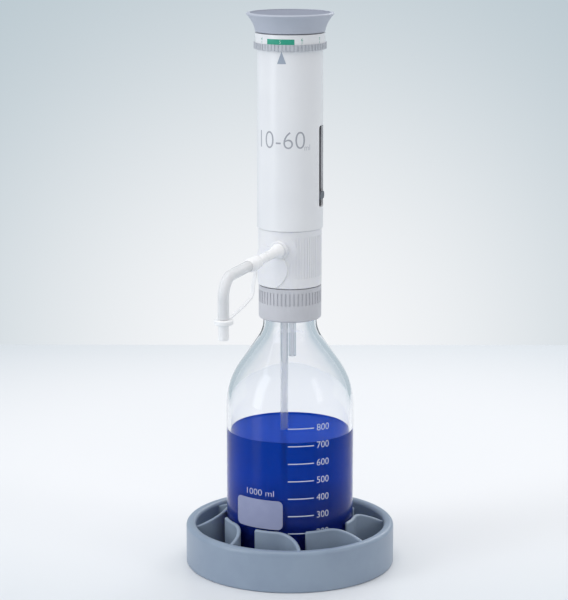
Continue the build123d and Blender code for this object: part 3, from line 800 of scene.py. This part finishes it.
def dyed(name, bright, painted_shade_bottom, low, high):
    """Dyed liquid: part clear, part scattering, with painted shade that darkens it towards the bottom."""
    material = clear(name, bright, 1.05, 0.0)
    tree = material.node_tree
    shader = tree.nodes["Principled BSDF"]
    shader.inputs["Transmission Weight"].default_value = 0.32
    place = tree.nodes.new("ShaderNodeTexCoord")
    height = tree.nodes.new("ShaderNodeSeparateXYZ")
    link(tree, place.outputs["Object"], height.inputs["Vector"])
    # Painted shade: the blue grows darker towards the bottom, where the holder shades it.
    shade = falloff(tree, height.outputs["Z"], low, high, (*painted_shade_bottom, 1), (*bright, 1))
    link(tree, shade.outputs["Colour"], shader.inputs["Base Color"])
    return material


blue_solution = dyed(
    "Blue solution", bright=(0.0, 0.10, 0.92), painted_shade_bottom=(0.012, 0.024, 0.27), low=22 * mm, high=85 * mm
)
liquid.data.materials.append(blue_solution)
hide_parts("blue_liquid")
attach(liquid, "bottle")

# Neck seat, gasket and the two tubes: the plug and gasket are turned fluoropolymer, and the
# tubes are drawn from clear polymer that has gone slightly milky.
white_polymer = plastic(
    "White polymer",
    (0.80, 0.80, 0.79),
    (0.84, 0.84, 0.83),
    0.38,
    Subsurface_Weight=0.2,
    Subsurface_Radius=(0.002, 0.002, 0.002),
)
tube_polymer = plastic(
    "Clear tube polymer",
    (0.955, 0.965, 0.985),
    (0.97, 0.975, 0.99),
    0.10,
    spread=0.05,
    depth=0.00001,
    Transmission_Weight=0.86,
    IOR=1.1,
)
finish(white_polymer, "neck_seat", "neck_gasket")
finish(tube_polymer, "intake_tube", "tube_extension", "vent_tube")

# Collar nut: light grey moulded nut with straight ribs, screwed on the neck's thread. It is finely matt.
collar_plastic = plastic(
    "Collar plastic", (0.56, 0.565, 0.60), (0.60, 0.60, 0.635), 0.40, cloud=45, Coat_Weight=0.08
)
finish(collar_plastic, "collar_nut")

# Valve block and its valves: the block is translucent white, moulded with fine grip ribs. Seats,
# balls, plug and ring seal are ceramic, polymer and rubber.
translucent_white = plastic(
    "Translucent white",
    (0.80, 0.805, 0.83),
    (0.84, 0.84, 0.86),
    0.34,
    cloud=30,
    grain=1500,
    Subsurface_Weight=0.55,
    Subsurface_Radius=(0.006, 0.006, 0.007),
)
ceramic = plastic(
    "White ceramic", (0.86, 0.85, 0.82), (0.88, 0.87, 0.84), 0.12, grain=4000, depth=0.00001
)
seal_rubber = plastic("Seal rubber", (0.03, 0.03, 0.033), (0.045, 0.045, 0.05), 0.55)
finish(translucent_white, "valve_block", "outlet_plug")
finish(ceramic, "inlet_seat", "inlet_ball", "outlet_seat", "outlet_ball")
finish(seal_rubber, "swivel_seal", "piston_seal")

# Spout: a milky nozzle and union, a cloudy discharge tube bent down to its tip, and the cap with
# its strap and ring, all soft translucent polymer.
milky = plastic(
    "Milky polymer",
    (0.92, 0.92, 0.93),
    (0.94, 0.94, 0.95),
    0.26,
    cloud=80,
    IOR=1.3,
    Subsurface_Weight=0.4,
    Subsurface_Radius=(0.004, 0.004, 0.004),
)
spout_tube = plastic(
    "Discharge tube polymer",
    (0.95, 0.955, 0.97),
    (0.965, 0.97, 0.98),
    0.12,
    spread=0.06,
    depth=0.00001,
    Transmission_Weight=0.3,
    IOR=1.2,
)
finish(milky, "outlet_nozzle", "union_sleeve", "tether_ring", "spout_cap", "cap_tether")
finish(spout_tube, "discharge_tube")

# Dosing cylinder, guard, stop ring, piston and rod: borosilicate cylinder in a grey guard, with a
# fluoropolymer piston on a steel rod.
cylinder_glass = clear("Cylinder glass", (0.96, 0.97, 0.98), 1.47, 0.01)
guard_grey = plastic("Guard grey", (0.30, 0.30, 0.34), (0.33, 0.33, 0.37), 0.4)
turned_steel = plastic(
    "Turned steel", (0.56, 0.56, 0.57), (0.62, 0.62, 0.63), 0.28, cloud=300, grain=900, Metallic=1
)
finish(cylinder_glass, "glass_cylinder")
finish(guard_grey, "cylinder_guard", "stop_ring")
finish(white_polymer, "piston")
finish(turned_steel, "piston_rod", "lead_screw", "pivot_washer", "pivot_screw")

# Dosing sleeve: long white moulded handle with a slot for the pointer, a grey triangle set in its
# top edge and large thin figures for its range. The head plate closes its top.
sleeve_white = plastic(
    "Sleeve white",
    (0.815, 0.82, 0.84),
    (0.84, 0.845, 0.86),
    0.33,
    spread=0.05,
    cloud=25,
    Coat_Weight=0.12,
    Coat_Roughness=0.15,
)
print_grey = plastic("Grey print", (0.36, 0.37, 0.41), (0.39, 0.40, 0.44), 0.5)
print_pale = plastic("Pale grey print", (0.55, 0.56, 0.60), (0.58, 0.59, 0.63), 0.5)
print_mark = plastic("Mark grey", (0.33, 0.38, 0.46), (0.36, 0.41, 0.49), 0.5)
finish(sleeve_white, "dosing_sleeve", "head_plate")
sleeve_base = 272.9
sleeve_top = 411.6
sleeve_radius_bottom = 25.8
sleeve_radius_top = 25.45


def sleeve_radius(height):
    """Outer radius of the slightly tapered sleeve at a height."""
    share = (height - sleeve_base) / (sleeve_top - sleeve_base)
    return sleeve_radius_bottom + (sleeve_radius_top - sleeve_radius_bottom) * share


range_height = 343.0
numerals = wording(
    "range_figures",
    "10-60",
    size=14.2,
    azimuth=-20.9,
    height=range_height,
    radius=sleeve_radius(range_height),
    material=print_grey,
    squeeze=0.96,
    thin=0.3,
)
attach(numerals, "handle")
unit_height = 337.7
unit = wording(
    "range_unit",
    "ml",
    size=4.6,
    azimuth=31.0,
    height=unit_height,
    radius=sleeve_radius(unit_height),
    material=print_pale,
    squeeze=0.9,
)
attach(unit, "handle")

triangle_azimuth = radians(-15)
triangle_top = sleeve_top - 0.1
triangle_base = 402.1
triangle_half_width = 3.55
triangle_depths = (0.24, 0.02)


def mark_triangle():
    """Triangle inlaid in the sleeve's recess, apex at the sleeve's top edge."""
    mesh = bpy.data.meshes.new("mark_triangle")
    form = bmesh.new()
    rows = 8
    layers = []
    for index in range(rows + 1):
        share = index / rows
        height = triangle_top + (triangle_base - triangle_top) * share
        layer = []
        for depth in triangle_depths:
            reach = sleeve_radius(height) - depth
            for side in (-1, 0, 1):
                angle = triangle_azimuth + side * triangle_half_width * share / reach
                place = Vector((reach * sin(angle), -reach * cos(angle), height))
                layer.append(form.verts.new(place * mm))
        layers.append(layer)
    for upper, lower in zip(layers, layers[1:]):
        for first, second in ((0, 1), (1, 2), (2, 5), (5, 4), (4, 3), (3, 0)):
            form.faces.new((upper[first], upper[second], lower[second], lower[first]))
    for end in (layers[-1], layers[0]):
        form.faces.new([end[index] for index in (0, 1, 4, 3)])
        form.faces.new([end[index] for index in (1, 2, 5, 4)])
    bmesh.ops.remove_doubles(form, verts=form.verts, dist=1e-7)
    bmesh.ops.recalc_face_normals(form, faces=form.faces)
    form.to_mesh(mesh)
    form.free()
    mesh.materials.append(print_mark)
    inlay = bpy.data.objects.new("mark_triangle", mesh)
    scene.collection.objects.link(inlay)
    return inlay


mark = mark_triangle()
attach(mark, "handle")

# Volume pointer and its drive: a dark grey pointer moulded on the stop nut shows in the slot,
# and a small pinion on the steel screw moves it. The screw is finished with the rod above.
pointer_plastic = plastic("Pointer plastic", (0.10, 0.11, 0.135), (0.12, 0.13, 0.155), 0.4)
finish(pointer_plastic, "stop_nut", "drive_pinion")

# Dial: knurled grip ring, white scale ring with green ticks, figures and the window plate, and
# the flared soft grey knob with its cover.
grip_plastic = plastic("Grip plastic", (0.50, 0.52, 0.56), (0.56, 0.58, 0.62), 0.5, cloud=220)
knob_plastic = plastic(
    "Knob plastic", (0.45, 0.48, 0.555), (0.475, 0.505, 0.58), 0.46, cloud=30, grain=3000
)
cover_plastic = plastic(
    "Cover plastic", (0.235, 0.25, 0.325), (0.255, 0.27, 0.345), 0.5, cloud=30, grain=3000
)
scale_green = plastic("Scale green", (0.02, 0.34, 0.22), (0.03, 0.37, 0.25), 0.45)
scale_light = plastic("Light figure", (0.42, 0.72, 0.62), (0.46, 0.75, 0.65), 0.45)
finish(grip_plastic, "grip_ring")
finish(sleeve_white, "scale_ring")
finish(knob_plastic, "palm_knob")
finish(cover_plastic, "knob_cover")

scale_radius = 27.1
figure_count = 10
first_figure = 5
window_azimuth = -16.6
window_low = 416.4
window_high = 420.9
window_figure_height = 418.7
window_figure_lift = 0.05
figure_height = 420.4
window = panel(
    "scale_window",
    scale_radius,
    middle=window_azimuth,
    half_turn=23.5,
    low=window_low,
    high=window_high,
    corner=0.25,
    material=scale_green,
    thickness=0.04,
)
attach(window, "dial")
for index in range(figure_count):
    shown = (first_figure + index) % figure_count
    in_window = index == 0
    figure = wording(
        f"scale_figure_{shown}",
        str(shown),
        size=2.4,
        azimuth=window_azimuth + 360 / figure_count * index,
        height=window_figure_height if in_window else figure_height,
        radius=scale_radius + (window_figure_lift if in_window else 0),
        material=scale_light if in_window else scale_green,
    )
    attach(figure, "dial")


def ticks_tree():
    """Upright ticks standing round a ring."""
    group = bpy.data.node_groups.new("Scale ticks", "GeometryNodeTree")
    sizes = [
        ("Radius", 0.02),
        ("Height", 0.4),
        ("Turn", 0.0),
        ("Tick width", 0.0003),
        ("Tick height", 0.002),
        ("Tick depth", 0.0001),
    ]
    given = tree_inputs(group, sizes, count=20)
    ring = group.nodes.new("GeometryNodeMeshCircle")
    link(group, given.outputs["Count"], ring.inputs["Vertices"])
    link(group, given.outputs["Radius"], ring.inputs["Radius"])
    size = group.nodes.new("ShaderNodeCombineXYZ")
    link(group, given.outputs["Tick depth"], size.inputs["X"])
    link(group, given.outputs["Tick width"], size.inputs["Y"])
    link(group, given.outputs["Tick height"], size.inputs["Z"])
    tick = group.nodes.new("GeometryNodeMeshCube")
    link(group, size.outputs["Vector"], tick.inputs["Size"])
    position = group.nodes.new("GeometryNodeInputPosition")
    outwards = group.nodes.new("FunctionNodeAlignRotationToVector")
    outwards.axis = "X"
    link(group, position.outputs["Position"], outwards.inputs["Vector"])
    copies = group.nodes.new("GeometryNodeInstanceOnPoints")
    link(group, ring.outputs["Mesh"], copies.inputs["Points"])
    link(group, tick.outputs["Mesh"], copies.inputs["Instance"])
    link(group, outwards.outputs["Rotation"], copies.inputs["Rotation"])
    place = group.nodes.new("GeometryNodeTransform")
    link(group, copies.outputs["Instances"], place.inputs["Geometry"])
    link(group, upright(group, given, "Height"), place.inputs["Translation"])
    link(group, upright(group, given, "Turn"), place.inputs["Rotation"])
    closing(group, place.outputs["Geometry"], scale_green)
    return group


tick_sizes = {
    "Count": figure_count,
    "Radius": scale_radius * mm,
    "Height": 418.0 * mm,
    "Turn": radians(window_azimuth - 90),
    "Tick width": 0.3 * mm,
    "Tick height": 1.8 * mm,
    "Tick depth": 0.09 * mm,
}
ticks = grown("scale_ticks", ticks_tree(), tick_sizes, scale_green)
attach(ticks, "dial")
